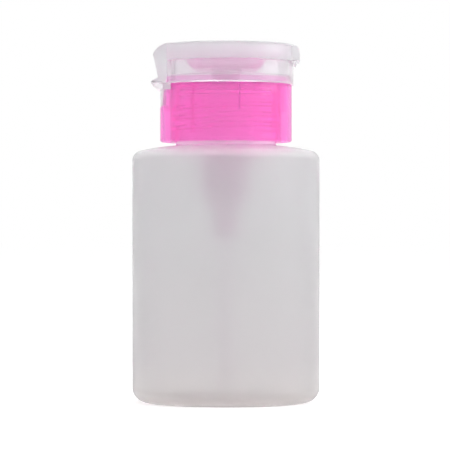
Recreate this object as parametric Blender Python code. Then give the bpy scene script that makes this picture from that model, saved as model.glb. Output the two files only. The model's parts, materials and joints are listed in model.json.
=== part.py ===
"""Push-down dispenser bottle, about 200 ml, for nail care liquids.

A blown, frosted bottle carries a pink screw closure. The closure holds a piston pump whose stem ends
in a round press dish, and a clear ring with a flip lid covers the dish. Units are metres, +Z is up,
and the origin is the centre of the foot. The lid's hinge is at -X and its thumb tab at +X.
"""

import math

import bmesh
import bpy
from mathutils import Matrix, Vector

# Fits between neighbouring parts
SEAT_GAP = 0.0003
SLIDE_GAP = 0.0003
DISH_GAP = 0.0004

# Bottle
BODY_RADIUS = 0.0300
SHOULDER_TOP = 0.0822
SHOULDER_RISE = 0.0018
SHOULDER_CORNER = 0.0030
BASE_CORNER = 0.0048
FOOT_WIDTH = 0.0025
PUSH_UP = 0.0018
BODY_WALL = 0.0011
NECK_RADIUS = 0.0150
NECK_WALL = 0.0018
NECK_HEIGHT = 0.0160
NECK_LAND_STEP = 0.0010
NECK_LAND_HEIGHT = 0.0023

# Neck gasket
GASKET_WIDTH = 0.0016
GASKET_THICKNESS = 0.0008

# Pump housing, with the dip tube's socket below it
FLANGE_THICKNESS = 0.0010
CHAMBER_BORE = 0.0070
CHAMBER_WALL = 0.0009
INLET_BALL_RADIUS = 0.0020
BALL_CAGE_RADIUS = 0.0030
BALL_CAGE_DEPTH = 0.0035
INLET_HOLE_RADIUS = 0.0012
INLET_HOLE_LENGTH = 0.0017
SOCKET_WALL = 0.0012
SOCKET_DEPTH = 0.0065
DIP_TUBE_RADIUS = 0.0025
DIP_TUBE_WALL = 0.0008
DIP_TUBE_STAND_OFF = 0.0006
DIP_TUBE_SLANT = 0.0012

# Housing retainer, which guides the dish's boss
RETAINER_FLANGE_RADIUS = 0.0090
RETAINER_FLANGE_THICKNESS = 0.0007
RETAINER_LENGTH = 0.0060

# Piston, stem and spring
STROKE = 0.0045
PISTON_LENGTH = 0.0080
PISTON_SKIN = 0.0010
PISTON_HUB_WALL = 0.0011
PISTON_WEB = 0.0014
STEM_RADIUS = 0.0030
STEM_BORE = 0.0015
STEM_FOOT_RADIUS = 0.0050
STEM_FOOT_THICKNESS = 0.0010
STEM_ENTRY = 0.0029
SPRING_LENGTH = 0.0179
SPRING_RADIUS = 0.0040
SPRING_WIRE = 0.0008
SPRING_TURNS = 8
SPRING_END_PITCH = 0.0013
OUTLET_BALL_RADIUS = 0.0018
OUTLET_LIFT = 0.0008
OUTLET_SEAT_DEPTH = 0.0011

# Press dish
BOSS_RADIUS = 0.0047
BOSS_RISE = 0.0014
BOSS_LENGTH = 0.0081
DISH_WALL = 0.0010
DISH_FLOOR_RADIUS = 0.0090
DISH_BOWL_RADIUS = 0.0143
DISH_FLANGE_THICKNESS = 0.0007
DISH_RIM_WALL = 0.0009
DISH_RIM_DEPTH = 0.0020

# Spout insert
SPOUT_RIM_RADIUS = 0.0044
SPOUT_RIM_THICKNESS = 0.0008
SPOUT_ORIFICE_RADIUS = 0.0008

# Collar: threaded skirt, ribs, outer wall, deck and rebated rim
THREAD_ROOM = 0.0015
COLLAR_SKIRT_WALL = 0.0013
RIB_SPAN = 0.0021
COLLAR_WALL = 0.0012
COLLAR_LIFT = 0.0011
COLLAR_CHAMFER = 0.0007
DECK_THICKNESS = 0.0010
RIM_HEIGHT = 0.0020
RIM_WALL = 0.0013
REBATE_WIDTH = 0.0005
REBATE_DROP = 0.0006
RIB_COUNT = 8
RIB_THICKNESS = 0.0008
RIB_ANGLE = math.radians(-78.0)
LONG_RIB_DROP = 0.0160
SHORT_RIB_DROP = 0.0088
NOTCH_HALF_WIDTH = 0.0076
NOTCH_DEPTH = 0.0068
NOTCH_CHAMFER = 0.0011

# Hinge ring with its block and tongue
RING_WALL = 0.0008
RING_SEAT = 0.0006
RING_RISE = 0.0060
RING_NECK_HEIGHT = 0.0014
RING_NECK_STEP = 0.0004
HINGE_REACH = 0.0019
HINGE_RISE = 0.0004
BLOCK_DROP = 0.0023
TONGUE_LENGTH = 0.0049
TONGUE_TAPER = 0.0009

# Flip lid
LID_WALL = 0.0009
LID_TOP = 0.0010
LID_DEPTH = 0.0043
LID_EDGE = 0.0010
HOOD_HALF_WIDTH = 0.0125
HOOD_SIDE_WALL = 0.0008
HOOD_BACK_WALL = 0.0010
HOOD_SHOULDER_RUN = 0.0047
HOOD_SHOULDER_DROP = 0.0037
HOOD_BULGE = 0.0005
HOOD_FOOT_RISE = 0.0015
HOOD_FOOT_SETBACK = 0.0021
HOOD_FULLNESS = 1.2
TAB_HALF_WIDTH = 0.0097
TAB_REACH = 0.0012
TAB_SLANT = 0.0003
TAB_TOP_DROP = 0.0007
CATCH_HALF_WIDTH = 0.0050
CATCH_DROP = 0.0016
CATCH_THICKNESS = 0.0009

# Facets of the round forms
RIM_SEGMENTS = 48
PUMP_SEGMENTS = 32
SMALL_SEGMENTS = 24
ARC_STEPS = 4
BEYOND = 0.0020

# Places that follow from the sizes, from the neck upwards
neck_bore = NECK_RADIUS - NECK_WALL
neck_land_radius = NECK_RADIUS + NECK_LAND_STEP
neck_top = SHOULDER_TOP + NECK_HEIGHT
gasket_bottom = neck_top + SEAT_GAP
gasket_top = gasket_bottom + GASKET_THICKNESS
flange_bottom = gasket_top + SEAT_GAP
flange_top = flange_bottom + FLANGE_THICKNESS
deck_bottom = flange_top + SEAT_GAP
deck_top = deck_bottom + DECK_THICKNESS
rim_top = deck_top + RIM_HEIGHT
rebate_floor = deck_top - REBATE_DROP
collar_bottom = SHOULDER_TOP + COLLAR_LIFT

# Collar, ring and lid radii, from the neck outwards
skirt_bore = NECK_RADIUS + THREAD_ROOM
skirt_radius = skirt_bore + COLLAR_SKIRT_WALL
wall_bore = skirt_radius + RIB_SPAN
collar_radius = wall_bore + COLLAR_WALL
rim_radius = collar_radius - REBATE_WIDTH
rim_bore = rim_radius - RIM_WALL
deck_hole = RETAINER_FLANGE_RADIUS + SLIDE_GAP
ring_skirt_bore = rim_radius + SEAT_GAP
ring_radius = ring_skirt_bore + RING_WALL
ring_bore = rim_radius - RING_SEAT
ring_bottom = rebate_floor + SEAT_GAP
ring_shoulder = rim_top + SEAT_GAP
ring_top = ring_shoulder + RING_RISE
ring_step = ring_top - RING_NECK_HEIGHT
ring_neck_radius = ring_radius - RING_NECK_STEP
lid_bore = ring_neck_radius + SLIDE_GAP
lid_radius = lid_bore + LID_WALL
lid_bottom = ring_step + SEAT_GAP
lid_ceiling = lid_bottom + LID_DEPTH
lid_top = lid_ceiling + LID_TOP
hinge_x = -(ring_radius + HINGE_REACH)
hinge_z = ring_bottom + HINGE_RISE
fold_gap = SEAT_GAP / 2

# Dish and pump heights, from the lid downwards
dish_top = lid_ceiling - DISH_GAP
dish_flange_bottom = dish_top - DISH_FLANGE_THICKNESS
dish_floor_bottom = deck_top + SLIDE_GAP + STROKE
dish_floor_top = dish_floor_bottom + DISH_WALL
dish_flange_radius = ring_bore - DISH_GAP
dish_rim_bottom = dish_flange_bottom - DISH_RIM_DEPTH
boss_top = dish_floor_top + BOSS_RISE
boss_bottom = boss_top - BOSS_LENGTH
boss_bore = STEM_RADIUS + SEAT_GAP
stem_top = boss_bottom + STEM_ENTRY
retainer_bore = BOSS_RADIUS + SLIDE_GAP
retainer_bottom = flange_top - RETAINER_LENGTH
piston_top = retainer_bottom - SEAT_GAP
piston_bottom = piston_top - PISTON_LENGTH
stem_foot_top = piston_bottom - SEAT_GAP
stem_foot_bottom = stem_foot_top - STEM_FOOT_THICKNESS
spring_top = stem_foot_bottom - SEAT_GAP
spring_bottom = spring_top - SPRING_LENGTH
chamber_floor = spring_bottom - SEAT_GAP
cage_floor = chamber_floor - BALL_CAGE_DEPTH
inlet_cone_end = cage_floor - (BALL_CAGE_RADIUS - INLET_HOLE_RADIUS)
socket_top = inlet_cone_end - INLET_HOLE_LENGTH
socket_bottom = socket_top - SOCKET_DEPTH
socket_bore = DIP_TUBE_RADIUS + SEAT_GAP
socket_radius = socket_bore + SOCKET_WALL


def arc(center_r, center_z, radius_r, radius_z, start, end, steps):
    """Points (r, z) on an elliptical arc between two angles in degrees, ends included."""
    points = []
    for step in range(steps + 1):
        angle = math.radians(start + (end - start) * step / steps)
        points.append((center_r + radius_r * math.cos(angle), center_z + radius_z * math.sin(angle)))
    return points


def plastic(name, colour, roughness, metallic=0.0, see_through=0.0):
    """Principled material from an 8-bit screen colour."""
    material = bpy.data.materials.new(name)
    material.use_nodes = True
    shader = material.node_tree.nodes["Principled BSDF"]
    linear = [((value / 255 + 0.055) / 1.055) ** 2.4 for value in colour]
    shader.inputs["Base Color"].default_value = (*linear, 1.0)
    shader.inputs["Roughness"].default_value = roughness
    shader.inputs["Metallic"].default_value = metallic
    shader.inputs["Transmission Weight"].default_value = see_through
    material.diffuse_color = (*linear, 1.0)
    return material


def add_object(name, shape, material=None):
    """Turn a bmesh into a named, smooth-shaded object."""
    bmesh.ops.recalc_face_normals(shape, faces=shape.faces)
    mesh = bpy.data.meshes.new(name)
    shape.to_mesh(mesh)
    shape.free()
    mesh.shade_smooth()
    mesh.set_sharp_from_angle(angle=math.radians(35))
    if material:
        mesh.materials.append(material)
    part = bpy.data.objects.new(name, mesh)
    bpy.context.scene.collection.objects.link(part)
    return part


def turned(name, profile, segments, material=None):
    """Solid of revolution about Z from a closed (r, z) profile; ends on the axis become poles."""
    shape = bmesh.new()
    verts = [shape.verts.new((r, 0.0, z)) for r, z in profile]
    for vert, following in zip(verts, verts[1:] + verts[:1]):
        if vert.co.x > 0 or following.co.x > 0:
            shape.edges.new((vert, following))
    bmesh.ops.spin(
        shape,
        geom=shape.verts[:] + shape.edges[:],
        axis=(0, 0, 1),
        cent=(0, 0, 0),
        steps=segments,
        angle=math.tau,
        use_merge=True,
    )
    bmesh.ops.remove_doubles(shape, verts=shape.verts, dist=1e-6)
    return add_object(name, shape, material)


def prism(name, outline, half_width, axis="Y"):
    """Closed outline extruded evenly to both sides: (x, z) along Y, or (y, z) along X."""
    shape = bmesh.new()
    if axis == "Y":
        verts = [shape.verts.new((across, -half_width, z)) for across, z in outline]
        step = Vector((0, 2 * half_width, 0))
    else:
        verts = [shape.verts.new((-half_width, across, z)) for across, z in outline]
        step = Vector((2 * half_width, 0, 0))
    grown = bmesh.ops.extrude_face_region(shape, geom=[shape.faces.new(verts)])
    moved = [item for item in grown["geom"] if isinstance(item, bmesh.types.BMVert)]
    bmesh.ops.translate(shape, verts=moved, vec=step)
    return add_object(name, shape)


def ball(name, radius, height, material):
    """Round ball with its centre on the axis."""
    shape = bmesh.new()
    bmesh.ops.create_icosphere(shape, subdivisions=2, radius=radius)
    part = add_object(name, shape, material)
    part.location = (0, 0, height)
    return part


def combine(target, tool, operation):
    """Boolean on the target by a guide shape that is not a part itself."""
    modifier = target.modifiers.new(tool.name, "BOOLEAN")
    modifier.operation = operation
    modifier.object = tool
    modifier.solver = "EXACT"
    tool.hide_render = True
    tool.display_type = "WIRE"


def set_origin(part, pivot):
    """Move a part's origin to its pivot without moving its shape."""
    part.data.transform(Matrix.Translation(-Vector(pivot)))
    part.location = pivot


def axis_empty(name, place, parent=None):
    """Empty that marks a joint's axis and carries what moves on it."""
    empty = bpy.data.objects.new(name, None)
    empty.empty_display_size = 0.01
    empty.location = place
    bpy.context.scene.collection.objects.link(empty)
    if parent:
        carry(parent, empty)
    return empty


def carry(parent, *children):
    """Parent parts to an empty and leave them where they stand."""
    bpy.context.view_layer.update()
    for child in children:
        child.parent = parent
        child.matrix_parent_inverse = parent.matrix_world.inverted()


def seat_height(cone_apex, radius, gap):
    """Centre height of a ball that lies in a 45-degree cone."""
    return cone_apex + (radius + gap) * math.sqrt(2)


def make_bottle(material):
    """Blown body: push-up base, flat foot ring, soft corners, sloping shoulder and neck."""
    foot_outer = BODY_RADIUS - BASE_CORNER
    foot_inner = foot_outer - FOOT_WIDTH
    dome_edge = foot_inner - 0.6 * FOOT_WIDTH
    dome_rise = 0.6 * PUSH_UP
    corner_z = SHOULDER_TOP - SHOULDER_RISE - SHOULDER_CORNER * math.sin(math.radians(80))
    slope_radius = (BODY_RADIUS + NECK_RADIUS) / 2
    slope_drop = 0.32 * SHOULDER_RISE
    inner_corner = SHOULDER_CORNER - BODY_WALL

    outside = [(0, PUSH_UP), (dome_edge, dome_rise), (foot_inner, 0)]
    outside += arc(foot_outer, BASE_CORNER, BASE_CORNER, BASE_CORNER, -90, 0, ARC_STEPS)
    outside += arc(BODY_RADIUS - SHOULDER_CORNER, corner_z, SHOULDER_CORNER, SHOULDER_CORNER, 0, 80, ARC_STEPS)
    outside += [
        (slope_radius, SHOULDER_TOP - slope_drop),
        (neck_land_radius, SHOULDER_TOP),
        (neck_land_radius, SHOULDER_TOP + NECK_LAND_HEIGHT),
        (NECK_RADIUS, SHOULDER_TOP + NECK_LAND_HEIGHT),
        (NECK_RADIUS, neck_top),
    ]
    inside = [
        (neck_bore, neck_top),
        (neck_bore, SHOULDER_TOP - BODY_WALL),
        (slope_radius, SHOULDER_TOP - slope_drop - BODY_WALL),
    ]
    inside += arc(BODY_RADIUS - SHOULDER_CORNER, corner_z, inner_corner, inner_corner, 80, 0, 3)
    inside += arc(foot_outer, BASE_CORNER, BASE_CORNER - BODY_WALL, BASE_CORNER - BODY_WALL, 0, -90, 3)
    inside += [(foot_inner, BODY_WALL), (dome_edge, dome_rise + BODY_WALL), (0, PUSH_UP + BODY_WALL)]
    return turned("bottle", outside + inside, RIM_SEGMENTS, material)


def make_gasket(material):
    """Flat liner between the neck and the pump's flange."""
    inner = NECK_RADIUS - GASKET_WIDTH
    profile = [
        (inner, gasket_bottom),
        (NECK_RADIUS, gasket_bottom),
        (NECK_RADIUS, gasket_top),
        (inner, gasket_top),
    ]
    return turned("neck_gasket", profile, RIM_SEGMENTS, material)


def make_housing(material):
    """Flange, cylinder, ball cage with its conical seat, and the dip tube's socket."""
    outer = CHAMBER_BORE + CHAMBER_WALL
    cone_top = chamber_floor - SOCKET_WALL
    profile = [
        (CHAMBER_BORE, flange_top),
        (NECK_RADIUS, flange_top),
        (NECK_RADIUS, flange_bottom),
        (outer, flange_bottom),
        (outer, cone_top),
        (socket_radius, cone_top - (outer - socket_radius)),
        (socket_radius, socket_bottom),
        (socket_bore, socket_bottom),
        (socket_bore, socket_top),
        (INLET_HOLE_RADIUS, socket_top),
        (INLET_HOLE_RADIUS, inlet_cone_end),
        (BALL_CAGE_RADIUS, cage_floor),
        (BALL_CAGE_RADIUS, chamber_floor),
        (CHAMBER_BORE, chamber_floor),
    ]
    return turned("pump_housing", profile, PUMP_SEGMENTS, material)


def make_dip_tube(material):
    """Straight tube from the socket to just above the floor, cut aslant at its foot."""
    inner = DIP_TUBE_RADIUS - DIP_TUBE_WALL
    top = socket_top - SEAT_GAP
    bottom = PUSH_UP + BODY_WALL + DIP_TUBE_STAND_OFF
    profile = [(inner, bottom), (DIP_TUBE_RADIUS, bottom), (DIP_TUBE_RADIUS, top), (inner, top)]
    tube = turned("dip_tube", profile, SMALL_SEGMENTS, material)
    for vert in tube.data.vertices:
        if vert.co.z < (bottom + top) / 2:
            vert.co.z += DIP_TUBE_SLANT * (1 + vert.co.x / DIP_TUBE_RADIUS) / 2
    return tube


def make_retainer(material):
    """Flanged bush in the chamber's mouth; the dish's boss slides in it."""
    outer = CHAMBER_BORE - SEAT_GAP
    flange_z = flange_top + SEAT_GAP
    profile = [
        (retainer_bore, retainer_bottom),
        (outer, retainer_bottom),
        (outer, flange_z),
        (RETAINER_FLANGE_RADIUS, flange_z),
        (RETAINER_FLANGE_RADIUS, flange_z + RETAINER_FLANGE_THICKNESS),
        (retainer_bore, flange_z + RETAINER_FLANGE_THICKNESS),
    ]
    return turned("housing_retainer", profile, PUMP_SEGMENTS, material)


def make_stem(material):
    """Hollow stem with a foot flange below the piston and a ball seat at its top."""
    seat_radius = STEM_BORE + OUTLET_SEAT_DEPTH
    profile = [
        (STEM_BORE, stem_foot_bottom),
        (STEM_FOOT_RADIUS, stem_foot_bottom),
        (STEM_FOOT_RADIUS, stem_foot_top),
        (STEM_RADIUS, stem_foot_top),
        (STEM_RADIUS, stem_top),
        (seat_radius, stem_top),
        (STEM_BORE, stem_top - OUTLET_SEAT_DEPTH),
    ]
    return turned("piston_stem", profile, SMALL_SEGMENTS, material)


def make_piston(material):
    """Hub on the stem, web, and a thin outer sleeve that wipes the chamber."""
    hub_bore = STEM_RADIUS + SEAT_GAP
    hub_radius = hub_bore + PISTON_HUB_WALL
    sleeve_radius = CHAMBER_BORE - SLIDE_GAP
    sleeve_bore = sleeve_radius - PISTON_SKIN
    web_top = (piston_top + piston_bottom + PISTON_WEB) / 2
    web_bottom = web_top - PISTON_WEB
    profile = [
        (hub_bore, piston_bottom),
        (hub_radius, piston_bottom),
        (hub_radius, web_bottom),
        (sleeve_bore, web_bottom),
        (sleeve_bore, piston_bottom),
        (sleeve_radius, piston_bottom),
        (sleeve_radius, piston_top),
        (sleeve_bore, piston_top),
        (sleeve_bore, web_top),
        (hub_radius, web_top),
        (hub_radius, piston_top),
        (hub_bore, piston_top),
    ]
    return turned("piston", profile, PUMP_SEGMENTS, material)


def spring_height(turn):
    """Height of the coil's centre line: slow first and last turns, an even pitch between them."""
    low = spring_bottom + SPRING_WIRE / 2
    high = spring_top - SPRING_WIRE / 2
    pitch = (high - low - 2 * SPRING_END_PITCH) / (SPRING_TURNS - 2)
    if turn <= 1:
        return low + SPRING_END_PITCH * turn
    if turn >= SPRING_TURNS - 1:
        return high - SPRING_END_PITCH * (SPRING_TURNS - turn)
    return low + SPRING_END_PITCH + pitch * (turn - 1)


def make_spring(material):
    """Compression spring wound as one wire between the chamber's floor and the stem's foot."""
    points_per_turn = 10
    curve = bpy.data.curves.new("return_spring", "CURVE")
    curve.dimensions = "3D"
    curve.bevel_depth = SPRING_WIRE / 2
    curve.bevel_resolution = 1
    curve.use_fill_caps = True
    spline = curve.splines.new("POLY")
    count = SPRING_TURNS * points_per_turn + 1
    spline.points.add(count - 1)
    path = []
    for index in range(count):
        turn = index / points_per_turn
        angle = math.tau * turn
        path.append(
            Vector((SPRING_RADIUS * math.cos(angle), SPRING_RADIUS * math.sin(angle), spring_height(turn)))
        )
        spline.points[index].co = (*path[-1], 1)
    least = min(
        (path[first] - path[second]).length
        for first in range(count)
        for second in range(first + points_per_turn // 2, count)
    )
    print("return_spring: least gap to itself %.2f mm" % ((least - SPRING_WIRE) * 1000))
    curve.materials.append(material)
    spring = bpy.data.objects.new("return_spring", curve)
    bpy.context.scene.collection.objects.link(spring)
    return spring


def make_dish(material):
    """Shallow bowl with a flat, turned-down rim and a sleeve for the stem in its middle."""
    depth = dish_flange_bottom - dish_floor_bottom
    run = DISH_BOWL_RADIUS - DISH_FLOOR_RADIUS
    rim_inner = dish_flange_radius - DISH_RIM_WALL
    profile = [(boss_bore, boss_bottom), (BOSS_RADIUS, boss_bottom), (BOSS_RADIUS, dish_floor_bottom)]
    profile += arc(DISH_FLOOR_RADIUS, dish_flange_bottom, run, depth, -90, 0, ARC_STEPS)
    profile += [
        (rim_inner, dish_flange_bottom),
        (rim_inner, dish_rim_bottom),
        (dish_flange_radius, dish_rim_bottom),
        (dish_flange_radius, dish_top),
    ]
    profile += arc(DISH_FLOOR_RADIUS, dish_top, run - DISH_WALL, dish_top - dish_floor_top, 0, -90, ARC_STEPS)
    profile += [(BOSS_RADIUS, dish_floor_top), (BOSS_RADIUS, boss_top), (boss_bore, boss_top)]
    return turned("press_dish", profile, RIM_SEGMENTS, material)


def make_spout(material, bottom):
    """Nozzle button: a plug in the dish's boss under a low domed rim."""
    plug_radius = boss_bore - SEAT_GAP
    rim_bottom = boss_top + SEAT_GAP
    rim_top_z = rim_bottom + SPOUT_RIM_THICKNESS
    profile = [
        (SPOUT_ORIFICE_RADIUS, bottom),
        (plug_radius, bottom),
        (plug_radius, rim_bottom),
        (SPOUT_RIM_RADIUS, rim_bottom),
        (SPOUT_RIM_RADIUS, rim_bottom + SPOUT_RIM_THICKNESS / 2),
        (plug_radius, rim_top_z),
        (SPOUT_ORIFICE_RADIUS, rim_top_z),
    ]
    return turned("spout_insert", profile, SMALL_SEGMENTS, material)


def make_ribs():
    """Radial webs between the collar's two walls, in turn long and short."""
    shape = bmesh.new()
    for index in range(RIB_COUNT):
        drop = LONG_RIB_DROP if index % 2 else SHORT_RIB_DROP
        inner = skirt_radius - COLLAR_SKIRT_WALL / 2
        outer = wall_bore + COLLAR_WALL / 2
        top = deck_bottom + DECK_THICKNESS / 2
        size = Vector((outer - inner, RIB_THICKNESS, top - (deck_top - drop)))
        centre = Vector(((outer + inner) / 2, 0, top - size.z / 2))
        turn = Matrix.Rotation(RIB_ANGLE + math.tau * index / RIB_COUNT, 4, "Z")
        matrix = turn @ Matrix.Translation(centre) @ Matrix.Diagonal((*size, 1))
        bmesh.ops.create_cube(shape, size=1, matrix=matrix)
    return add_object("collar_ribs", shape)


def make_collar(material):
    """Double-walled screw collar: threaded skirt, deck, ribs, and a notched, rebated outer wall."""
    profile = [
        (wall_bore, collar_bottom),
        (collar_radius - COLLAR_CHAMFER, collar_bottom),
        (collar_radius, collar_bottom + COLLAR_CHAMFER),
        (collar_radius, rebate_floor),
        (rim_radius, rebate_floor),
        (rim_radius, rim_top),
        (rim_bore, rim_top),
        (rim_bore, deck_top),
        (deck_hole, deck_top),
        (deck_hole, deck_bottom),
        (skirt_bore, deck_bottom),
        (skirt_bore, collar_bottom),
        (skirt_radius, collar_bottom),
        (skirt_radius, deck_bottom),
        (wall_bore, deck_bottom),
    ]
    collar = turned("collar", profile, RIM_SEGMENTS, material)
    combine(collar, make_ribs(), "UNION")

    notch_floor = rebate_floor - NOTCH_DEPTH
    notch_back = -(skirt_radius + SEAT_GAP)
    outside = -(collar_radius + BEYOND)
    chamfer_slope = NOTCH_CHAMFER / COLLAR_WALL
    notch = prism(
        "hinge_notch",
        [
            (notch_back, rim_top + BEYOND),
            (outside, rim_top + BEYOND),
            (outside, notch_floor - NOTCH_CHAMFER - BEYOND * chamfer_slope),
            (SLIDE_GAP - wall_bore, notch_floor + SLIDE_GAP * chamfer_slope),
            (notch_back, notch_floor + SLIDE_GAP * chamfer_slope),
        ],
        NOTCH_HALF_WIDTH,
    )
    combine(collar, notch, "DIFFERENCE")
    return collar


def tongue_outline(half_width, bottom, shoulder, top):
    """Front view (y, z) of the tongue: straight at the block, tapered below it."""
    foot = half_width - TONGUE_TAPER
    return [
        (-foot, bottom - BEYOND),
        (foot, bottom - BEYOND),
        (foot, bottom),
        (half_width, shoulder),
        (half_width, top + BEYOND),
        (-half_width, top + BEYOND),
        (-half_width, shoulder),
        (-foot, bottom),
    ]


def make_hinge_ring(material):
    """Clear ring on the collar's rim, with the hinge block and the tongue that keys it to the collar."""
    profile = [
        (ring_skirt_bore, ring_bottom),
        (ring_radius, ring_bottom),
        (ring_radius, ring_step),
        (ring_neck_radius, ring_step),
        (ring_neck_radius, ring_top),
        (ring_bore, ring_top),
        (ring_bore, ring_shoulder),
        (ring_skirt_bore, ring_shoulder),
    ]
    ring = turned("hinge_ring", profile, RIM_SEGMENTS, material)

    block_top = hinge_z - fold_gap
    block_bottom = ring_bottom - BLOCK_DROP + HINGE_RISE
    block_half_width = HOOD_HALF_WIDTH - fold_gap
    block_front = -math.sqrt(ring_radius**2 - block_half_width**2) + RING_WALL / 2
    block_root = -(collar_radius + BEYOND / 10)
    block = prism(
        "hinge_block",
        [
            (hinge_x, block_top),
            (block_root, block_bottom),
            (block_front, block_bottom),
            (block_front, block_top),
        ],
        block_half_width,
    )
    clearance_radius = collar_radius + SEAT_GAP
    clearance = turned(
        "collar_clearance",
        [
            (0, block_bottom - BEYOND),
            (clearance_radius, block_bottom - BEYOND),
            (clearance_radius, block_top + BEYOND),
            (0, block_top + BEYOND),
        ],
        RIM_SEGMENTS,
    )
    combine(block, clearance, "DIFFERENCE")
    combine(ring, block, "UNION")

    tongue_bottom = block_bottom - TONGUE_LENGTH
    tongue_half_width = NOTCH_HALF_WIDTH - SEAT_GAP
    overlap_radius = clearance_radius + (ring_radius - clearance_radius) / 2
    tongue = turned(
        "hinge_tongue",
        [
            (wall_bore, tongue_bottom),
            (collar_radius, tongue_bottom),
            (collar_radius, block_bottom + SEAT_GAP),
            (overlap_radius, block_bottom + SEAT_GAP),
            (overlap_radius, block_top - fold_gap),
            (wall_bore, block_top - fold_gap),
        ],
        RIM_SEGMENTS,
    )
    front_view = tongue_outline(tongue_half_width, tongue_bottom, block_bottom, block_top)
    window = prism("tongue_outline", front_view, BEYOND * 2, axis="X")
    window.location.x = -collar_radius
    combine(tongue, window, "INTERSECT")
    combine(ring, tongue, "UNION")

    cutout_half_width = HOOD_HALF_WIDTH - SEAT_GAP
    cutout = prism(
        "hood_cutout",
        [
            (hinge_x - BEYOND, block_top),
            (-wall_bore * 0.6, block_top),
            (-wall_bore * 0.6, ring_top + BEYOND),
            (hinge_x - BEYOND, ring_top + BEYOND),
        ],
        cutout_half_width,
    )
    combine(ring, cutout, "DIFFERENCE")
    return ring


def hood_outline(wall, ceiling):
    """Rear outline (x, z) of the lid's hood from the lid's top down to its foot, less a wall."""
    start = -(lid_radius + HOOD_BULGE - HOOD_SHOULDER_RUN)
    waist = lid_top - HOOD_SHOULDER_DROP
    points = []
    for step in range(ARC_STEPS + 2):
        angle = math.radians(90 * step / (ARC_STEPS + 1))
        across = (HOOD_SHOULDER_RUN - wall) * math.sin(angle) ** HOOD_FULLNESS
        rise = (ceiling - waist) * math.cos(angle) ** HOOD_FULLNESS
        points.append((start - across, waist + rise))
    return points


def make_lid(material):
    """Flip lid: cap with thumb tab and catch in front, hood and hinge flap at the back."""
    profile = [(0, lid_bottom), (lid_radius, lid_bottom)]
    profile += arc(lid_radius - LID_EDGE, lid_top - LID_EDGE, LID_EDGE, LID_EDGE, 0, 90, 3)
    profile += [(0, lid_top)]
    lid = turned("lid", profile, RIM_SEGMENTS, material)

    foot_z = hinge_z + fold_gap
    flap_x = hinge_x + HOOD_FOOT_SETBACK
    flap_z = foot_z + HOOD_FOOT_RISE - fold_gap
    foot_inner = -(rim_radius + SEAT_GAP)
    side_front = -math.sqrt(lid_radius**2 - HOOD_HALF_WIDTH**2)
    side_seat = -math.sqrt(lid_bore**2 - HOOD_HALF_WIDTH**2) + LID_WALL / 2
    hood = prism(
        "hood_block",
        [
            (hinge_x - BEYOND, foot_z),
            (side_front, foot_z),
            (side_front, lid_bottom + BEYOND / 4),
            (side_seat, lid_bottom + BEYOND / 4),
            (side_seat, lid_top),
            (hinge_x - BEYOND, lid_top),
        ],
        HOOD_HALF_WIDTH,
    )
    combine(lid, hood, "UNION")

    tab_root = lid_bore - LID_WALL
    tab_top = lid_top - TAB_TOP_DROP
    tab = prism(
        "thumb_tab",
        [
            (tab_root, lid_bottom),
            (lid_radius + TAB_REACH, lid_bottom),
            (lid_radius + TAB_REACH - TAB_SLANT, tab_top),
            (tab_root, tab_top),
        ],
        TAB_HALF_WIDTH,
    )
    combine(lid, tab, "UNION")

    catch_inner = ring_radius + SEAT_GAP
    catch = prism(
        "catch",
        [
            (catch_inner, lid_bottom + LID_WALL),
            (catch_inner, lid_bottom - CATCH_DROP * 0.75),
            (catch_inner + CATCH_THICKNESS / 2, lid_bottom - CATCH_DROP),
            (catch_inner + CATCH_THICKNESS, lid_bottom - SEAT_GAP),
            (catch_inner + CATCH_THICKNESS, lid_bottom + LID_WALL),
        ],
        CATCH_HALF_WIDTH,
    )
    combine(lid, catch, "UNION")

    interior = turned(
        "lid_interior",
        [
            (0, lid_bottom - SEAT_GAP),
            (lid_bore, lid_bottom - SEAT_GAP),
            (lid_bore, lid_ceiling),
            (0, lid_ceiling),
        ],
        RIM_SEGMENTS,
    )
    outline = hood_outline(0, lid_top)
    hood_start = outline[0][0]
    behind = prism(
        "behind_hood_start",
        [
            (hood_start, lid_bottom - BEYOND),
            (hood_start, lid_top + BEYOND),
            (hinge_x, lid_top + BEYOND),
            (hinge_x, lid_bottom - BEYOND),
        ],
        lid_radius,
    )
    combine(interior, behind, "DIFFERENCE")
    combine(lid, interior, "DIFFERENCE")

    trim = prism(
        "hood_trim",
        [
            (hood_start, lid_top + BEYOND),
            *outline,
            (flap_x, flap_z),
            (hinge_x, foot_z + fold_gap),
            (hinge_x, foot_z - BEYOND),
            (hinge_x - 2 * BEYOND, foot_z - BEYOND),
            (hinge_x - 2 * BEYOND, lid_top + BEYOND),
        ],
        lid_radius + BEYOND,
    )
    combine(lid, trim, "DIFFERENCE")

    hollow = prism(
        "hood_hollow",
        [
            *hood_outline(HOOD_BACK_WALL, lid_ceiling),
            (foot_inner, flap_z),
            (foot_inner, foot_z - BEYOND),
            (side_seat + BEYOND, foot_z - BEYOND),
            (side_seat + BEYOND, lid_ceiling),
        ],
        HOOD_HALF_WIDTH - HOOD_SIDE_WALL,
    )
    combine(lid, hollow, "DIFFERENCE")
    return lid


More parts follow.
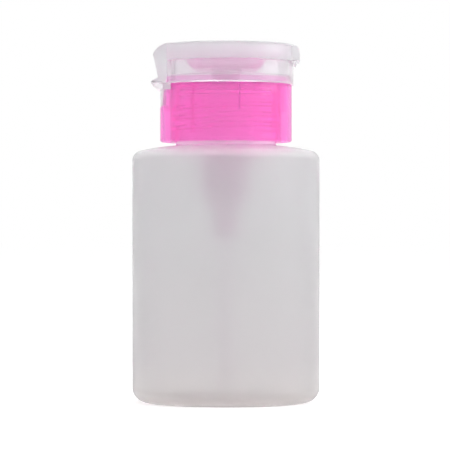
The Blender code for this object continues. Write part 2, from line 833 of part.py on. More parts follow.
def build():
    """Make every part and hang it on the axis it moves about."""
    for leftover in list(bpy.data.objects):
        bpy.data.objects.remove(leftover, do_unlink=True)

    frosted = plastic("frosted bottle plastic", (206, 203, 206), 0.45, see_through=0.6)
    pink = plastic("pink closure plastic", (246, 112, 188), 0.25, see_through=0.4)
    clear = plastic("clear lid plastic", (222, 216, 218), 0.30, see_through=0.6)
    milky = plastic("milky dish plastic", (228, 205, 218), 0.35, see_through=0.4)
    natural = plastic("natural pump plastic", (224, 214, 220), 0.40, see_through=0.3)
    tubing = plastic("dip tube plastic", (220, 218, 220), 0.35, see_through=0.5)
    rubber = plastic("gasket foam", (232, 230, 228), 0.70)
    steel = plastic("stainless steel", (190, 190, 195), 0.25, metallic=1.0)

    inlet_apex = cage_floor - BALL_CAGE_RADIUS
    outlet_apex = stem_top - OUTLET_SEAT_DEPTH - STEM_BORE
    inlet_z = seat_height(inlet_apex, INLET_BALL_RADIUS, SEAT_GAP)
    outlet_z = seat_height(outlet_apex, OUTLET_BALL_RADIUS, SEAT_GAP)
    spout_bottom = outlet_z + OUTLET_BALL_RADIUS + OUTLET_LIFT + SEAT_GAP

    make_bottle(frosted)
    pump_axis = axis_empty("pump_carrier", (0, 0, neck_top))
    carry(
        pump_axis,
        make_gasket(rubber),
        make_housing(natural),
        make_retainer(natural),
        make_dip_tube(tubing),
        make_spring(steel),
        ball("inlet_ball", INLET_BALL_RADIUS, inlet_z, steel),
    )

    plunger_axis = axis_empty("plunger_axis", (0, 0, boss_top), pump_axis)
    carry(
        plunger_axis,
        make_dish(milky),
        make_spout(natural, spout_bottom),
        make_stem(natural),
        make_piston(natural),
        ball("outlet_ball", OUTLET_BALL_RADIUS, outlet_z, steel),
    )

    closure_axis = axis_empty("closure_axis", (0, 0, deck_bottom), pump_axis)
    lid = make_lid(clear)
    set_origin(lid, (hinge_x, 0, hinge_z))
    carry(closure_axis, make_collar(pink), make_hinge_ring(clear), lid)


build()
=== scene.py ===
"""Looks of a push-down dispenser bottle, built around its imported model.

The frosted bottle carries a pink screw closure with a piston pump, a press dish and a clear flip lid.
Units are metres, +Z is up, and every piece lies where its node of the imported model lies.
"""

import json
import math

import bmesh
import bpy
from mathutils import Matrix, Vector


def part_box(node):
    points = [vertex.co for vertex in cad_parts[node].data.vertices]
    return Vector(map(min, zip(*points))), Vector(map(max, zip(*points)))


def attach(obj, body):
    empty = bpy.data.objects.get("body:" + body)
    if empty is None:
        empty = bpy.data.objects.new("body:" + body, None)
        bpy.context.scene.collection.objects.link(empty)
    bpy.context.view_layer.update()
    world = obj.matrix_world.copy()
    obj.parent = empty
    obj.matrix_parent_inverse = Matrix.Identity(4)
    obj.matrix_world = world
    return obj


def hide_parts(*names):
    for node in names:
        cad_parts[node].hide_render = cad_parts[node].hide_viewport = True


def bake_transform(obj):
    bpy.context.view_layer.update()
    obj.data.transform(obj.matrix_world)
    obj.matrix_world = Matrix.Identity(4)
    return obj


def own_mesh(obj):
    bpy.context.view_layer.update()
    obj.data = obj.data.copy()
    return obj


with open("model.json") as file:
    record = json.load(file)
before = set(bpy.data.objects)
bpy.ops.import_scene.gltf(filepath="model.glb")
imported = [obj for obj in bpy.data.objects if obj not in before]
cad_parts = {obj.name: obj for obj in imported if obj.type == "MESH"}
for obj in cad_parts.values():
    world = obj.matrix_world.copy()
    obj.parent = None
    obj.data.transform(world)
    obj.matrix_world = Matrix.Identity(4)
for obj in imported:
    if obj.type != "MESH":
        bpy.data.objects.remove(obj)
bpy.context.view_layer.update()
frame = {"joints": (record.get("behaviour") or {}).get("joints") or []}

# Camera: level with the middle of the object and far back, as for a catalogue picture.
PICTURE_WIDTH = 450
PIXEL_AT_AXIS = 0.000321
CAMERA_DISTANCE = 0.815
CAMERA_HEIGHT = 0.05675
CAMERA_SIDE = -0.0003
camera_data = bpy.data.cameras.new("camera")
camera_data.sensor_width = 36.0
camera_data.lens = camera_data.sensor_width * CAMERA_DISTANCE / (PICTURE_WIDTH * PIXEL_AT_AXIS)
camera = bpy.data.objects.new("camera", camera_data)
camera.location = (CAMERA_SIDE, -CAMERA_DISTANCE, CAMERA_HEIGHT)
camera.rotation_euler = (math.radians(90), 0, 0)
bpy.context.scene.collection.objects.link(camera)
bpy.context.scene.camera = camera
bpy.context.scene.view_settings.view_transform = "Standard"

# Light paths: the closure is many clear walls inside each other, so light needs many bounces to come
# through, and the filter on gloss after a soft bounce, which would dull those walls, is off.
light_paths = bpy.context.scene.cycles
light_paths.max_bounces = 48
light_paths.transmission_bounces = 48
light_paths.glossy_bounces = 24
light_paths.diffuse_bounces = 16
light_paths.blur_glossy = 0.0

# Studio: a white room that the camera, gloss and clear plastic see, and an even white light from it.
ROOM_LIGHT = 0.82
world = bpy.data.worlds.new("studio")
bpy.context.scene.world = world
world.use_nodes = True


def rays_that_see_white(tree):
    """1 for camera, glossy and transmission rays, 0 for the rays that only light things."""
    path = tree.nodes.new("ShaderNodeLightPath")
    seen = path.outputs["Is Camera Ray"]
    for name in ("Is Glossy Ray", "Is Transmission Ray"):
        either = tree.nodes.new("ShaderNodeMath")
        either.operation = "MAXIMUM"
        tree.links.new(seen, either.inputs[0])
        tree.links.new(path.outputs[name], either.inputs[1])
        seen = either.outputs[0]
    return seen


room = world.node_tree
room_light = room.nodes["Background"]
room_light.inputs["Color"].default_value = (1, 1, 1, 1)
room_light.inputs["Strength"].default_value = ROOM_LIGHT
room_white = room.nodes.new("ShaderNodeBackground")
room_white.inputs["Color"].default_value = (1, 1, 1, 1)
room_mix = room.nodes.new("ShaderNodeMixShader")
room.links.new(rays_that_see_white(room), room_mix.inputs[0])
room.links.new(room_light.outputs[0], room_mix.inputs[1])
room.links.new(room_white.outputs[0], room_mix.inputs[2])
room.links.new(room_mix.outputs[0], room.nodes["World Output"].inputs["Surface"])

# Softbox: one tall window of light, to the right of the object and a little in front of it.
SOFTBOX_DISTANCE = 0.90
SOFTBOX_FRONT = -0.40
SOFTBOX_BACK = 0.15
SOFTBOX_BOTTOM = 0.146
SOFTBOX_TOP = 0.90
SOFTBOX_POWER = 3.0
softbox_data = bpy.data.lights.new("softbox", "AREA")
softbox_data.shape = "RECTANGLE"
softbox_data.size = SOFTBOX_TOP - SOFTBOX_BOTTOM
softbox_data.size_y = SOFTBOX_BACK - SOFTBOX_FRONT
softbox_data.energy = SOFTBOX_POWER
softbox = bpy.data.objects.new("softbox", softbox_data)
softbox.location = (
    SOFTBOX_DISTANCE,
    (SOFTBOX_FRONT + SOFTBOX_BACK) / 2,
    (SOFTBOX_BOTTOM + SOFTBOX_TOP) / 2,
)
softbox.rotation_euler = (0, math.radians(90), 0)
bpy.context.scene.collection.objects.link(softbox)

# Overhead: a wide soft panel above the object, which makes what faces up a little lighter.
OVERHEAD_SIZE = 1.0
OVERHEAD_HEIGHT = 1.3
OVERHEAD_POWER = 5.0
overhead_data = bpy.data.lights.new("overhead", "AREA")
overhead_data.shape = "SQUARE"
overhead_data.size = OVERHEAD_SIZE
overhead_data.energy = OVERHEAD_POWER
overhead = bpy.data.objects.new("overhead", overhead_data)
overhead.location = (0, 0, OVERHEAD_HEIGHT)
bpy.context.scene.collection.objects.link(overhead)

# Floor: a wide white sheet that keeps the soft shadow under the object.
FLOOR_HALF_WIDTH = 6.0
FLOOR_WHITE = 0.80
floor_shape = bmesh.new()
bmesh.ops.create_grid(floor_shape, x_segments=1, y_segments=1, size=FLOOR_HALF_WIDTH)
floor_mesh = bpy.data.meshes.new("floor")
floor_shape.to_mesh(floor_mesh)
floor_shape.free()
floor = bpy.data.objects.new("floor", floor_mesh)
bpy.context.scene.collection.objects.link(floor)
floor_paper = bpy.data.materials.new("floor_paper")
floor_paper.use_nodes = True
paper = floor_paper.node_tree
paper.nodes.remove(paper.nodes["Principled BSDF"])
paper_matt = paper.nodes.new("ShaderNodeBsdfDiffuse")
paper_matt.inputs["Color"].default_value = (FLOOR_WHITE, FLOOR_WHITE, FLOOR_WHITE, 1)
paper_glow = paper.nodes.new("ShaderNodeEmission")
paper_lift = paper.nodes.new("ShaderNodeMath")
paper_lift.operation = "MULTIPLY"
paper_lift.inputs[1].default_value = 1 - FLOOR_WHITE * ROOM_LIGHT
paper_sum = paper.nodes.new("ShaderNodeAddShader")
paper.links.new(rays_that_see_white(paper), paper_lift.inputs[0])
paper.links.new(paper_lift.outputs[0], paper_glow.inputs["Strength"])
paper.links.new(paper_matt.outputs[0], paper_sum.inputs[0])
paper.links.new(paper_glow.outputs[0], paper_sum.inputs[1])
paper.links.new(paper_sum.outputs[0], paper.nodes["Material Output"].inputs["Surface"])
floor_mesh.materials.append(floor_paper)

# Bottle: blow-moulded body of frosted, nearly colourless plastic, with a pushed-up base, a sloping
# shoulder and a screw neck. The pump hangs in its mouth and the closure is screwed onto it.
bottle_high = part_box("bottle")[1]
body_radius = bottle_high.x
neck_top = bottle_high.z
BOTTLE_WALL = 0.0011
PUSH_UP = 0.0018
FOOT_RADIUS = 0.0227
DOME_RADIUS = 0.0200
DOME_EDGE_HEIGHT = 0.0011
DOME_BEND = 0.0040
FOOT_EDGE = 0.0006
BASE_CORNER = 0.0048
SHOULDER_CORNER_HEIGHT = 0.07996
SHOULDER_CORNER = 0.0025
SHOULDER_INNER_CORNER = SHOULDER_CORNER * 0.7
SHOULDER_BEND_RADIUS = 0.0225
SHOULDER_BEND_HEIGHT = 0.08162
SHOULDER_BEND = 0.0040
SHOULDER_TOP = 0.0822
NECK_LAND_RADIUS = 0.0160
NECK_LAND_TOP = 0.0845
NECK_RADIUS = 0.0150
NECK_BORE = 0.0132
NECK_FILLET = 0.0005
MOUTH_FILLET = 0.0008
EDGE = 0.0003
SOFT_EDGE = 0.0004
THREAD_PITCH = 0.003175
NECK_THREAD_RISE = 0.00115
NECK_THREAD_START = 0.08433
NECK_THREAD_FIRST_TURN = 0.85
NECK_THREAD_LAST_TURN = 2.85
THREAD_CREST_HALF = 0.00032
THREAD_ROOT_HALF = 0.00080
THREAD_FADE = 0.10
ROUND_STEPS = 144
RING_SPACING = 0.0025
THREAD_SPACING = 0.0002
ARC_SPACING = 0.0003
ARC_LEAST_STEPS = 3
SAME_PLACE = 1e-7
MERGE_DISTANCE = 1e-6
ON_WALL = 1e-5
SMOOTH_ANGLE = math.radians(32)
MATT_GRAIN = 0.00001
GLOSS_GRAIN = 0.000002
GRAIN_SCALE = 2500
CLOUD_SCALE = 70
HAZE_SPREAD = 0.1


def runs_at(edge, radius):
    """Whether an edge of a section runs straight up at this radius."""
    return all(abs(point.co.x - radius) < SAME_PLACE for point in edge.verts)


def turned(corners, steps=ROUND_STEPS, threaded_radius=None):
    """Closed solid of revolution about Z from its section: (radius, height, rounding) at each corner.

    A wall at threaded_radius gets rings so close together that they can carry a thread.
    """
    shape = bmesh.new()
    points = [shape.verts.new((radius, 0, height)) for radius, height, rounding in corners]
    shape.faces.new(points)
    for point, (radius, height, rounding) in zip(points, corners):
        if rounding:
            bmesh.ops.bevel(
                shape,
                geom=[point],
                offset=rounding,
                segments=max(ARC_LEAST_STEPS, math.ceil(rounding / ARC_SPACING)),
                profile=0.5,
                affect="VERTICES",
                material=-1,
            )
    bmesh.ops.delete(shape, geom=shape.faces[:], context="FACES_ONLY")
    axis_edges = [edge for edge in shape.edges if runs_at(edge, 0)]
    bmesh.ops.delete(shape, geom=axis_edges, context="EDGES")
    for edge in shape.edges[:]:
        threaded = threaded_radius and runs_at(edge, threaded_radius)
        cuts = int(edge.calc_length() / (THREAD_SPACING if threaded else RING_SPACING))
        if cuts:
            bmesh.ops.subdivide_edges(shape, edges=[edge], cuts=cuts)
    bmesh.ops.spin(
        shape,
        geom=shape.verts[:] + shape.edges[:],
        axis=(0, 0, 1),
        cent=(0, 0, 0),
        steps=steps,
        angle=math.tau,
        use_merge=True,
    )
    bmesh.ops.remove_doubles(shape, verts=shape.verts, dist=MERGE_DISTANCE)
    return shape


def placed(name, shape, material):
    """Turn a finished shape into a smooth-shaded object that stands where its points are."""
    bmesh.ops.recalc_face_normals(shape, faces=shape.faces)
    mesh = bpy.data.meshes.new(name)
    shape.to_mesh(mesh)
    shape.free()
    mesh.shade_smooth()
    mesh.set_sharp_from_angle(angle=SMOOTH_ANGLE)
    mesh.materials.append(material)
    piece = bpy.data.objects.new(name, mesh)
    bpy.context.scene.collection.objects.link(piece)
    return piece


def raise_thread(shape, radius, rise, start, first_turn, last_turn):
    """Raise a right-hand thread on the wall of this radius; a negative rise points to the axis."""
    for vert in shape.verts:
        reach = math.hypot(vert.co.x, vert.co.y)
        if abs(reach - radius) > ON_WALL:
            continue
        share = (math.atan2(vert.co.y, vert.co.x) / math.tau) % 1
        turn = share + round((vert.co.z - start) / THREAD_PITCH - share)
        ends = min(turn - first_turn, last_turn - turn)
        away = abs(vert.co.z - start - THREAD_PITCH * turn)
        if ends <= 0 or away >= THREAD_ROOT_HALF:
            continue
        flank = min(1, (THREAD_ROOT_HALF - away) / (THREAD_ROOT_HALF - THREAD_CREST_HALF))
        rounded = flank * flank * (3 - 2 * flank)
        grown = radius + rise * rounded * min(1, ends / THREAD_FADE)
        vert.co.x *= grown / reach
        vert.co.y *= grown / reach


def screen_colour(red, green, blue):
    """Linear colour from 8-bit screen values."""
    return [((value / 255 + 0.055) / 1.055) ** 2.4 for value in (red, green, blue)] + [1.0]


def moulded_plastic(name, colour, cloud_colour, roughness, see_through, skin, grain_depth, index=1.28):
    """Plastic with slow clouds of a second colour, a fine grain and a skin: its weight and roughness.

    The index is how strongly it bends light. It is kept low, because thin walls one behind the other
    then stay as clear as the real ones.
    """
    material = bpy.data.materials.new(name)
    material.use_nodes = True
    tree = material.node_tree
    shader = tree.nodes["Principled BSDF"]
    shader.inputs["Transmission Weight"].default_value = see_through
    shader.inputs["IOR"].default_value = index
    shader.inputs["Coat Weight"].default_value = skin[0]
    shader.inputs["Coat Roughness"].default_value = skin[1]
    place = tree.nodes.new("ShaderNodeTexCoord")
    clouds = tree.nodes.new("ShaderNodeTexNoise")
    clouds.inputs["Scale"].default_value = CLOUD_SCALE
    clouds.inputs["Detail"].default_value = 3
    tint = tree.nodes.new("ShaderNodeMix")
    tint.data_type = "RGBA"
    tint.inputs["A"].default_value = screen_colour(*colour)
    tint.inputs["B"].default_value = screen_colour(*cloud_colour)
    haze = tree.nodes.new("ShaderNodeMapRange")
    haze.inputs["To Min"].default_value = roughness * (1 - HAZE_SPREAD)
    haze.inputs["To Max"].default_value = roughness * (1 + HAZE_SPREAD)
    grain = tree.nodes.new("ShaderNodeTexNoise")
    grain.inputs["Scale"].default_value = GRAIN_SCALE
    grain.inputs["Detail"].default_value = 2
    bump = tree.nodes.new("ShaderNodeBump")
    bump.inputs["Distance"].default_value = grain_depth
    tree.links.new(place.outputs["Object"], clouds.inputs["Vector"])
    tree.links.new(place.outputs["Object"], grain.inputs["Vector"])
    tree.links.new(clouds.outputs["Fac"], tint.inputs["Factor"])
    tree.links.new(tint.outputs["Result"], shader.inputs["Base Color"])
    tree.links.new(clouds.outputs["Fac"], haze.inputs["Value"])
    tree.links.new(haze.outputs["Result"], shader.inputs["Roughness"])
    tree.links.new(grain.outputs["Fac"], bump.inputs["Height"])
    tree.links.new(bump.outputs["Normal"], shader.inputs["Normal"])
    return material


def tone_and_painted_light_by_height(material, top, tints):
    """Multiply a plastic's colour by a ramp over height: (share of the top, colour). A band that the ramp
    lightens where light falls is painted light.
    """
    tree = material.node_tree
    shader = tree.nodes["Principled BSDF"]
    own_colour = shader.inputs["Base Color"].links[0].from_socket
    place = tree.nodes.new("ShaderNodeTexCoord")
    height = tree.nodes.new("ShaderNodeSeparateXYZ")
    share = tree.nodes.new("ShaderNodeMapRange")
    share.inputs["From Max"].default_value = top
    ramp = tree.nodes.new("ShaderNodeValToRGB")
    stops = ramp.color_ramp.elements
    for index, (at, colour) in enumerate(tints):
        # A new ramp has two stops of its own.
        stop = stops[index] if index < 2 else stops.new(at)
        stop.position = at
        stop.color = screen_colour(*colour)
    both = tree.nodes.new("ShaderNodeMix")
    both.data_type = "RGBA"
    both.blend_type = "MULTIPLY"
    both.inputs["Factor"].default_value = 1
    tree.links.new(place.outputs["Object"], height.inputs[0])
    tree.links.new(height.outputs["Z"], share.inputs["Value"])
    tree.links.new(share.outputs["Result"], ramp.inputs["Fac"])
    tree.links.new(ramp.outputs["Color"], both.inputs["A"])
    tree.links.new(own_colour, both.inputs["B"])
    tree.links.new(both.outputs["Result"], shader.inputs["Base Color"])


frosted = moulded_plastic(
    "frosted_plastic",
    colour=(250, 250, 250),
    cloud_colour=(255, 255, 255),
    roughness=0.42,
    see_through=0.85,
    skin=(0.2, 0.50),
    grain_depth=MATT_GRAIN,
)
# Painted light: from the shoulder's corner up the body is painted much lighter, a painted highlight for
# the light that falls on the shoulder from above. Lower down the ramp only makes it warmer and lighter
# near the base and a little darker above that.
tone_and_painted_light_by_height(
    frosted,
    SHOULDER_TOP,
    [
        (0.00, (235, 231, 230)),
        (0.07, (235, 233, 233)),
        (0.16, (230, 228, 229)),
        (0.50, (231, 230, 231)),
        (0.80, (232, 232, 233)),
        (0.95, (233, 233, 234)),
        (0.967, (254, 255, 255)),
    ],
)
neck_plastic = moulded_plastic(
    "neck_plastic",
    colour=(255, 254, 255),
    cloud_colour=(255, 253, 255),
    roughness=0.14,
    see_through=0.60,
    skin=(0.3, 0.12),
    grain_depth=GLOSS_GRAIN,
    index=1.2,
)
inner_wall = body_radius - BOTTLE_WALL
inner_shoulder_height = SHOULDER_TOP - BOTTLE_WALL
bottle_shape = turned(
    [
        (0, PUSH_UP, 0),
        (DOME_RADIUS, DOME_EDGE_HEIGHT, DOME_BEND),
        (FOOT_RADIUS, 0, FOOT_EDGE),
        (body_radius, 0, BASE_CORNER),
        (body_radius, SHOULDER_CORNER_HEIGHT, SHOULDER_CORNER),
        (SHOULDER_BEND_RADIUS, SHOULDER_BEND_HEIGHT, SHOULDER_BEND),
        (NECK_LAND_RADIUS, SHOULDER_TOP, NECK_FILLET),
        (NECK_LAND_RADIUS, NECK_LAND_TOP, EDGE),
        (NECK_RADIUS, NECK_LAND_TOP, EDGE),
        (NECK_RADIUS, neck_top, SOFT_EDGE),
        (NECK_BORE, neck_top, SOFT_EDGE),
        (NECK_BORE, inner_shoulder_height, MOUTH_FILLET),
        (SHOULDER_BEND_RADIUS, SHOULDER_BEND_HEIGHT - BOTTLE_WALL, SHOULDER_BEND),
        (inner_wall, SHOULDER_CORNER_HEIGHT - BOTTLE_WALL, SHOULDER_INNER_CORNER),
        (inner_wall, BOTTLE_WALL, BASE_CORNER - BOTTLE_WALL),
        (FOOT_RADIUS, BOTTLE_WALL, FOOT_EDGE),
        (DOME_RADIUS, DOME_EDGE_HEIGHT + BOTTLE_WALL, DOME_BEND),
        (0, PUSH_UP + BOTTLE_WALL, 0),
    ],
    threaded_radius=NECK_RADIUS,
)
raise_thread(
    bottle_shape,
    NECK_RADIUS,
    NECK_THREAD_RISE,
    NECK_THREAD_START,
    NECK_THREAD_FIRST_TURN,
    NECK_THREAD_LAST_TURN,
)
bottle = placed("bottle_frosted", bottle_shape, frosted)
bottle.data.materials.append(neck_plastic)
# The frosting ends where the shoulder meets the neck.
for face in bottle.data.polygons:
    reach = math.hypot(face.center.x, face.center.y)
    in_mouth = face.center.z > inner_shoulder_height and reach < NECK_LAND_RADIUS
    if in_mouth or face.center.z > SHOULDER_TOP:
        face.material_index = 1
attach(bottle, "bottle")
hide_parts("bottle")

# Neck gasket: flat ring punched from soft foam. It lies between the neck's rim and the pump's flange,
# and the closure presses it tight.
gasket_low, gasket_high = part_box("neck_gasket")
GASKET_WIDTH = 0.0016
FINE_EDGE = 0.0002
FOAM_GRAIN = 0.00008
gasket_inner = gasket_high.x - GASKET_WIDTH
gasket_foam = moulded_plastic(
    "gasket_foam",
    colour=(252, 251, 250),
    cloud_colour=(249, 248, 247),
    roughness=0.70,
    see_through=0.0,
    skin=(0.0, 0.5),
    grain_depth=FOAM_GRAIN,
)
gasket = placed(
    "neck_gasket_foam",
    turned(
        [
            (gasket_inner, gasket_low.z, FINE_EDGE),
            (gasket_high.x, gasket_low.z, FINE_EDGE),
            (gasket_high.x, gasket_high.z, FINE_EDGE),
            (gasket_inner, gasket_high.z, FINE_EDGE),
        ]
    ),
    gasket_foam,
)
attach(gasket, "pump")
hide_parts("neck_gasket")

# Pump housing: injection-moulded cylinder that hangs in the neck by its flange. Its foot narrows to
# the inlet ball's cage and to the socket that grips the dip tube.
housing_low, housing_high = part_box("pump_housing")
HOUSING_FLANGE = 0.0010
FLANGE_FILLET = 0.0006
CHAMBER_BORE = 0.0070
CHAMBER_WALL = 0.0009
CHAMBER_FLOOR = 0.0665
CONE_BEND = 0.0008
CAGE_RADIUS = 0.0030
CAGE_DEPTH = 0.0035
INLET_HOLE_RADIUS = 0.0012
SOCKET_WALL = 0.0012
SOCKET_BORE = 0.0028
SOCKET_DEPTH = 0.0065
PUMP_STEPS = 96
housing_radius = CHAMBER_BORE + CHAMBER_WALL
socket_radius = SOCKET_BORE + SOCKET_WALL
cone_top = CHAMBER_FLOOR - SOCKET_WALL
cage_floor = CHAMBER_FLOOR - CAGE_DEPTH
natural = moulded_plastic(
    "natural_plastic",
    colour=(247, 236, 244),
    cloud_colour=(245, 233, 242),
    roughness=0.14,
    see_through=0.42,
    skin=(0.3, 0.2),
    grain_depth=MATT_GRAIN,
)
housing = placed(
    "pump_housing_natural",
    turned(
        [
            (CHAMBER_BORE, housing_high.z, EDGE),
            (housing_high.x, housing_high.z, EDGE),
            (housing_high.x, housing_high.z - HOUSING_FLANGE, EDGE),
            (housing_radius, housing_high.z - HOUSING_FLANGE, FLANGE_FILLET),
            (housing_radius, cone_top, CONE_BEND),
            (socket_radius, cone_top - (housing_radius - socket_radius), CONE_BEND),
            (socket_radius, housing_low.z, EDGE),
            (SOCKET_BORE, housing_low.z, EDGE),
            (SOCKET_BORE, housing_low.z + SOCKET_DEPTH, 0),
            (INLET_HOLE_RADIUS, housing_low.z + SOCKET_DEPTH, FINE_EDGE),
            (INLET_HOLE_RADIUS, cage_floor - (CAGE_RADIUS - INLET_HOLE_RADIUS), 0),
            (CAGE_RADIUS, cage_floor, SOFT_EDGE),
            (CAGE_RADIUS, CHAMBER_FLOOR, SOFT_EDGE),
            (CHAMBER_BORE, CHAMBER_FLOOR, SOFT_EDGE),
        ],
        steps=PUMP_STEPS,
    ),
    natural,
)
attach(housing, "pump")
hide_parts("pump_housing")

# Dip tube: thin extruded tube, pushed into the socket under the housing. Its foot is cut aslant, so
# that it can't close itself on the bottle's floor.
tube_low, tube_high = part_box("dip_tube")
DIP_TUBE_WALL = 0.0008
DIP_TUBE_SLANT = 0.0012
SMALL_STEPS = 64
tube_bore = tube_high.x - DIP_TUBE_WALL
tubing = moulded_plastic(
    "tubing",
    colour=(255, 253, 255),
    cloud_colour=(253, 252, 253),
    roughness=0.12,
    see_through=0.75,
    skin=(0.3, 0.2),
    grain_depth=MATT_GRAIN,
)
tube_shape = turned(
    [
        (tube_bore, tube_low.z, 0),
        (tube_high.x, tube_low.z, 0),
        (tube_high.x, tube_high.z, FINE_EDGE),
        (tube_bore, tube_high.z, FINE_EDGE),
    ],
    steps=SMALL_STEPS,
)
# Only the lowest ring of points moves.
for vert in tube_shape.verts:
    if vert.co.z < tube_low.z + DIP_TUBE_SLANT / 10:
        vert.co.z += DIP_TUBE_SLANT * (1 + vert.co.x / tube_high.x) / 2
dip_tube = placed("dip_tube_clear", tube_shape, tubing)
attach(dip_tube, "pump")
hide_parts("dip_tube")

# Valve balls: two polished steel balls, dropped in loose. One closes the inlet in the housing's cage,
# the other the outlet on top of the stem.
BALL_STEPS = 32
steel = bpy.data.materials.new("stainless_steel")
steel.use_nodes = True
metal = steel.node_tree
steel_shader = metal.nodes["Principled BSDF"]
steel_shader.inputs["Metallic"].default_value = 1.0
steel_place = metal.nodes.new("ShaderNodeTexCoord")
steel_marks = metal.nodes.new("ShaderNodeTexNoise")
steel_marks.inputs["Scale"].default_value = GRAIN_SCALE
steel_tint = metal.nodes.new("ShaderNodeMix")
steel_tint.data_type = "RGBA"
steel_tint.inputs["A"].default_value = screen_colour(186, 187, 192)
steel_tint.inputs["B"].default_value = screen_colour(206, 206, 208)
steel_polish = metal.nodes.new("ShaderNodeMapRange")
steel_polish.inputs["To Min"].default_value = 0.18
steel_polish.inputs["To Max"].default_value = 0.32
metal.links.new(steel_place.outputs["Object"], steel_marks.inputs["Vector"])
metal.links.new(steel_marks.outputs["Fac"], steel_tint.inputs["Factor"])
metal.links.new(steel_tint.outputs["Result"], steel_shader.inputs["Base Color"])
metal.links.new(steel_marks.outputs["Fac"], steel_polish.inputs["Value"])
metal.links.new(steel_polish.outputs["Result"], steel_shader.inputs["Roughness"])
for node, body in (("inlet_ball", "inlet_check"), ("outlet_ball", "outlet_check")):
    ball_low, ball_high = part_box(node)
    ball_shape = bmesh.new()
    bmesh.ops.create_uvsphere(
        ball_shape,
        u_segments=BALL_STEPS,
        v_segments=BALL_STEPS // 2,
        radius=(ball_high.z - ball_low.z) / 2,
        matrix=Matrix.Translation((ball_low + ball_high) / 2),
    )
    ball = placed(node + "_steel", ball_shape, steel)
    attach(ball, body)
    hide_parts(node)

# Return spring: compression spring of steel wire, with closed ends, between the chamber's floor and
# the stem's foot. It shortens by the plunger's stroke.
spring_low, spring_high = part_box("return_spring")
SPRING_WIRE = 0.0008
SPRING_TURNS = 8
SPRING_END_PITCH = 0.0013
SPRING_POINTS = 32
SPRING_WIRE_STEPS = 3
spring_radius = spring_high.x - SPRING_WIRE / 2
spring_first = spring_low.z + SPRING_WIRE / 2
spring_last = spring_high.z - SPRING_WIRE / 2
spring_pitch = (spring_last - spring_first - 2 * SPRING_END_PITCH) / (SPRING_TURNS - 2)
spring_curve = bpy.data.curves.new("return_spring_wire", "CURVE")
spring_curve.dimensions = "3D"
spring_curve.bevel_depth = SPRING_WIRE / 2
spring_curve.bevel_resolution = SPRING_WIRE_STEPS
spring_curve.use_fill_caps = True
spring_line = spring_curve.splines.new("POLY")
spring_line.points.add(SPRING_TURNS * SPRING_POINTS)
for index, point in enumerate(spring_line.points):
    turn = index / SPRING_POINTS
    middle_turns = min(max(turn - 1, 0), SPRING_TURNS - 2)
    end_turns = turn - middle_turns
    point.co = (
        spring_radius * math.cos(math.tau * turn),
        spring_radius * math.sin(math.tau * turn),
        spring_first + SPRING_END_PITCH * end_turns + spring_pitch * middle_turns,
        1,
    )
spring_former = bpy.data.objects.new("return_spring_former", spring_curve)
bpy.context.scene.collection.objects.link(spring_former)
spring_mesh = bpy.data.meshes.new_from_object(
    spring_former.evaluated_get(bpy.context.evaluated_depsgraph_get())
)
bpy.data.objects.remove(spring_former)
spring_mesh.materials.clear()
spring_mesh.materials.append(steel)
spring = bpy.data.objects.new("return_spring_wire", spring_mesh)
bpy.context.scene.collection.objects.link(spring)
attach(spring, "pump")
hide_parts("return_spring")
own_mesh(spring)

# Piston stem: hollow moulded tube that carries the piston and is pressed into the dish's boss. The
# flange at its foot sits on the spring, and its conical top is the seat of the outlet ball.
stem_low, stem_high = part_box("piston_stem")
STEM_RADIUS = 0.0030
STEM_BORE = 0.0015
STEM_FOOT_THICKNESS = 0.0010
STEM_SEAT_DEPTH = 0.0011
CRISP_EDGE = 0.0001
stem = placed(
    "piston_stem_natural",
    turned(
        [
            (STEM_BORE, stem_low.z, FINE_EDGE),
            (stem_high.x, stem_low.z, FINE_EDGE),
            (stem_high.x, stem_low.z + STEM_FOOT_THICKNESS, FINE_EDGE),
            (STEM_RADIUS, stem_low.z + STEM_FOOT_THICKNESS, FINE_EDGE),
            (STEM_RADIUS, stem_high.z, CRISP_EDGE),
            (STEM_BORE + STEM_SEAT_DEPTH, stem_high.z, CRISP_EDGE),
            (STEM_BORE, stem_high.z - STEM_SEAT_DEPTH, 0),
        ],
        steps=SMALL_STEPS,
    ),
    natural,
)
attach(stem, "plunger")
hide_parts("piston_stem")

# Piston: soft double cup, moulded in one and pushed over the stem. Only its two thin lips wipe the
# chamber's wall.
piston_low, piston_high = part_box("piston")
PISTON_HUB_BORE = 0.0033
PISTON_HUB_RADIUS = 0.0044
PISTON_SKIN = 0.0010
PISTON_WEB = 0.0014
PISTON_WAIST = 0.00025
PISTON_WAIST_BEND = 0.0012
piston_web_top = (piston_low.z + piston_high.z + PISTON_WEB) / 2
piston_bore = piston_high.x - PISTON_SKIN
piston_middle = (piston_low.z + piston_high.z) / 2
piston = placed(
    "piston_natural",
    turned(
        [
            (PISTON_HUB_BORE, piston_low.z, FINE_EDGE),
            (PISTON_HUB_RADIUS, piston_low.z, FINE_EDGE),
            (PISTON_HUB_RADIUS, piston_web_top - PISTON_WEB, EDGE),
            (piston_bore, piston_web_top - PISTON_WEB, EDGE),
            (piston_high.x - PISTON_SKIN / 2, piston_low.z, CRISP_EDGE),
            (piston_high.x, piston_low.z, FINE_EDGE),
            (piston_high.x - PISTON_WAIST, piston_middle, PISTON_WAIST_BEND),
            (piston_high.x, piston_high.z, FINE_EDGE),
            (piston_high.x - PISTON_SKIN / 2, piston_high.z, CRISP_EDGE),
            (piston_bore, piston_web_top, EDGE),
            (PISTON_HUB_RADIUS, piston_web_top, EDGE),
            (PISTON_HUB_RADIUS, piston_high.z, FINE_EDGE),
            (PISTON_HUB_BORE, piston_high.z, FINE_EDGE),
        ],
        steps=PUMP_STEPS,
    ),
    natural,
)
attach(piston, "plunger")
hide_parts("piston")

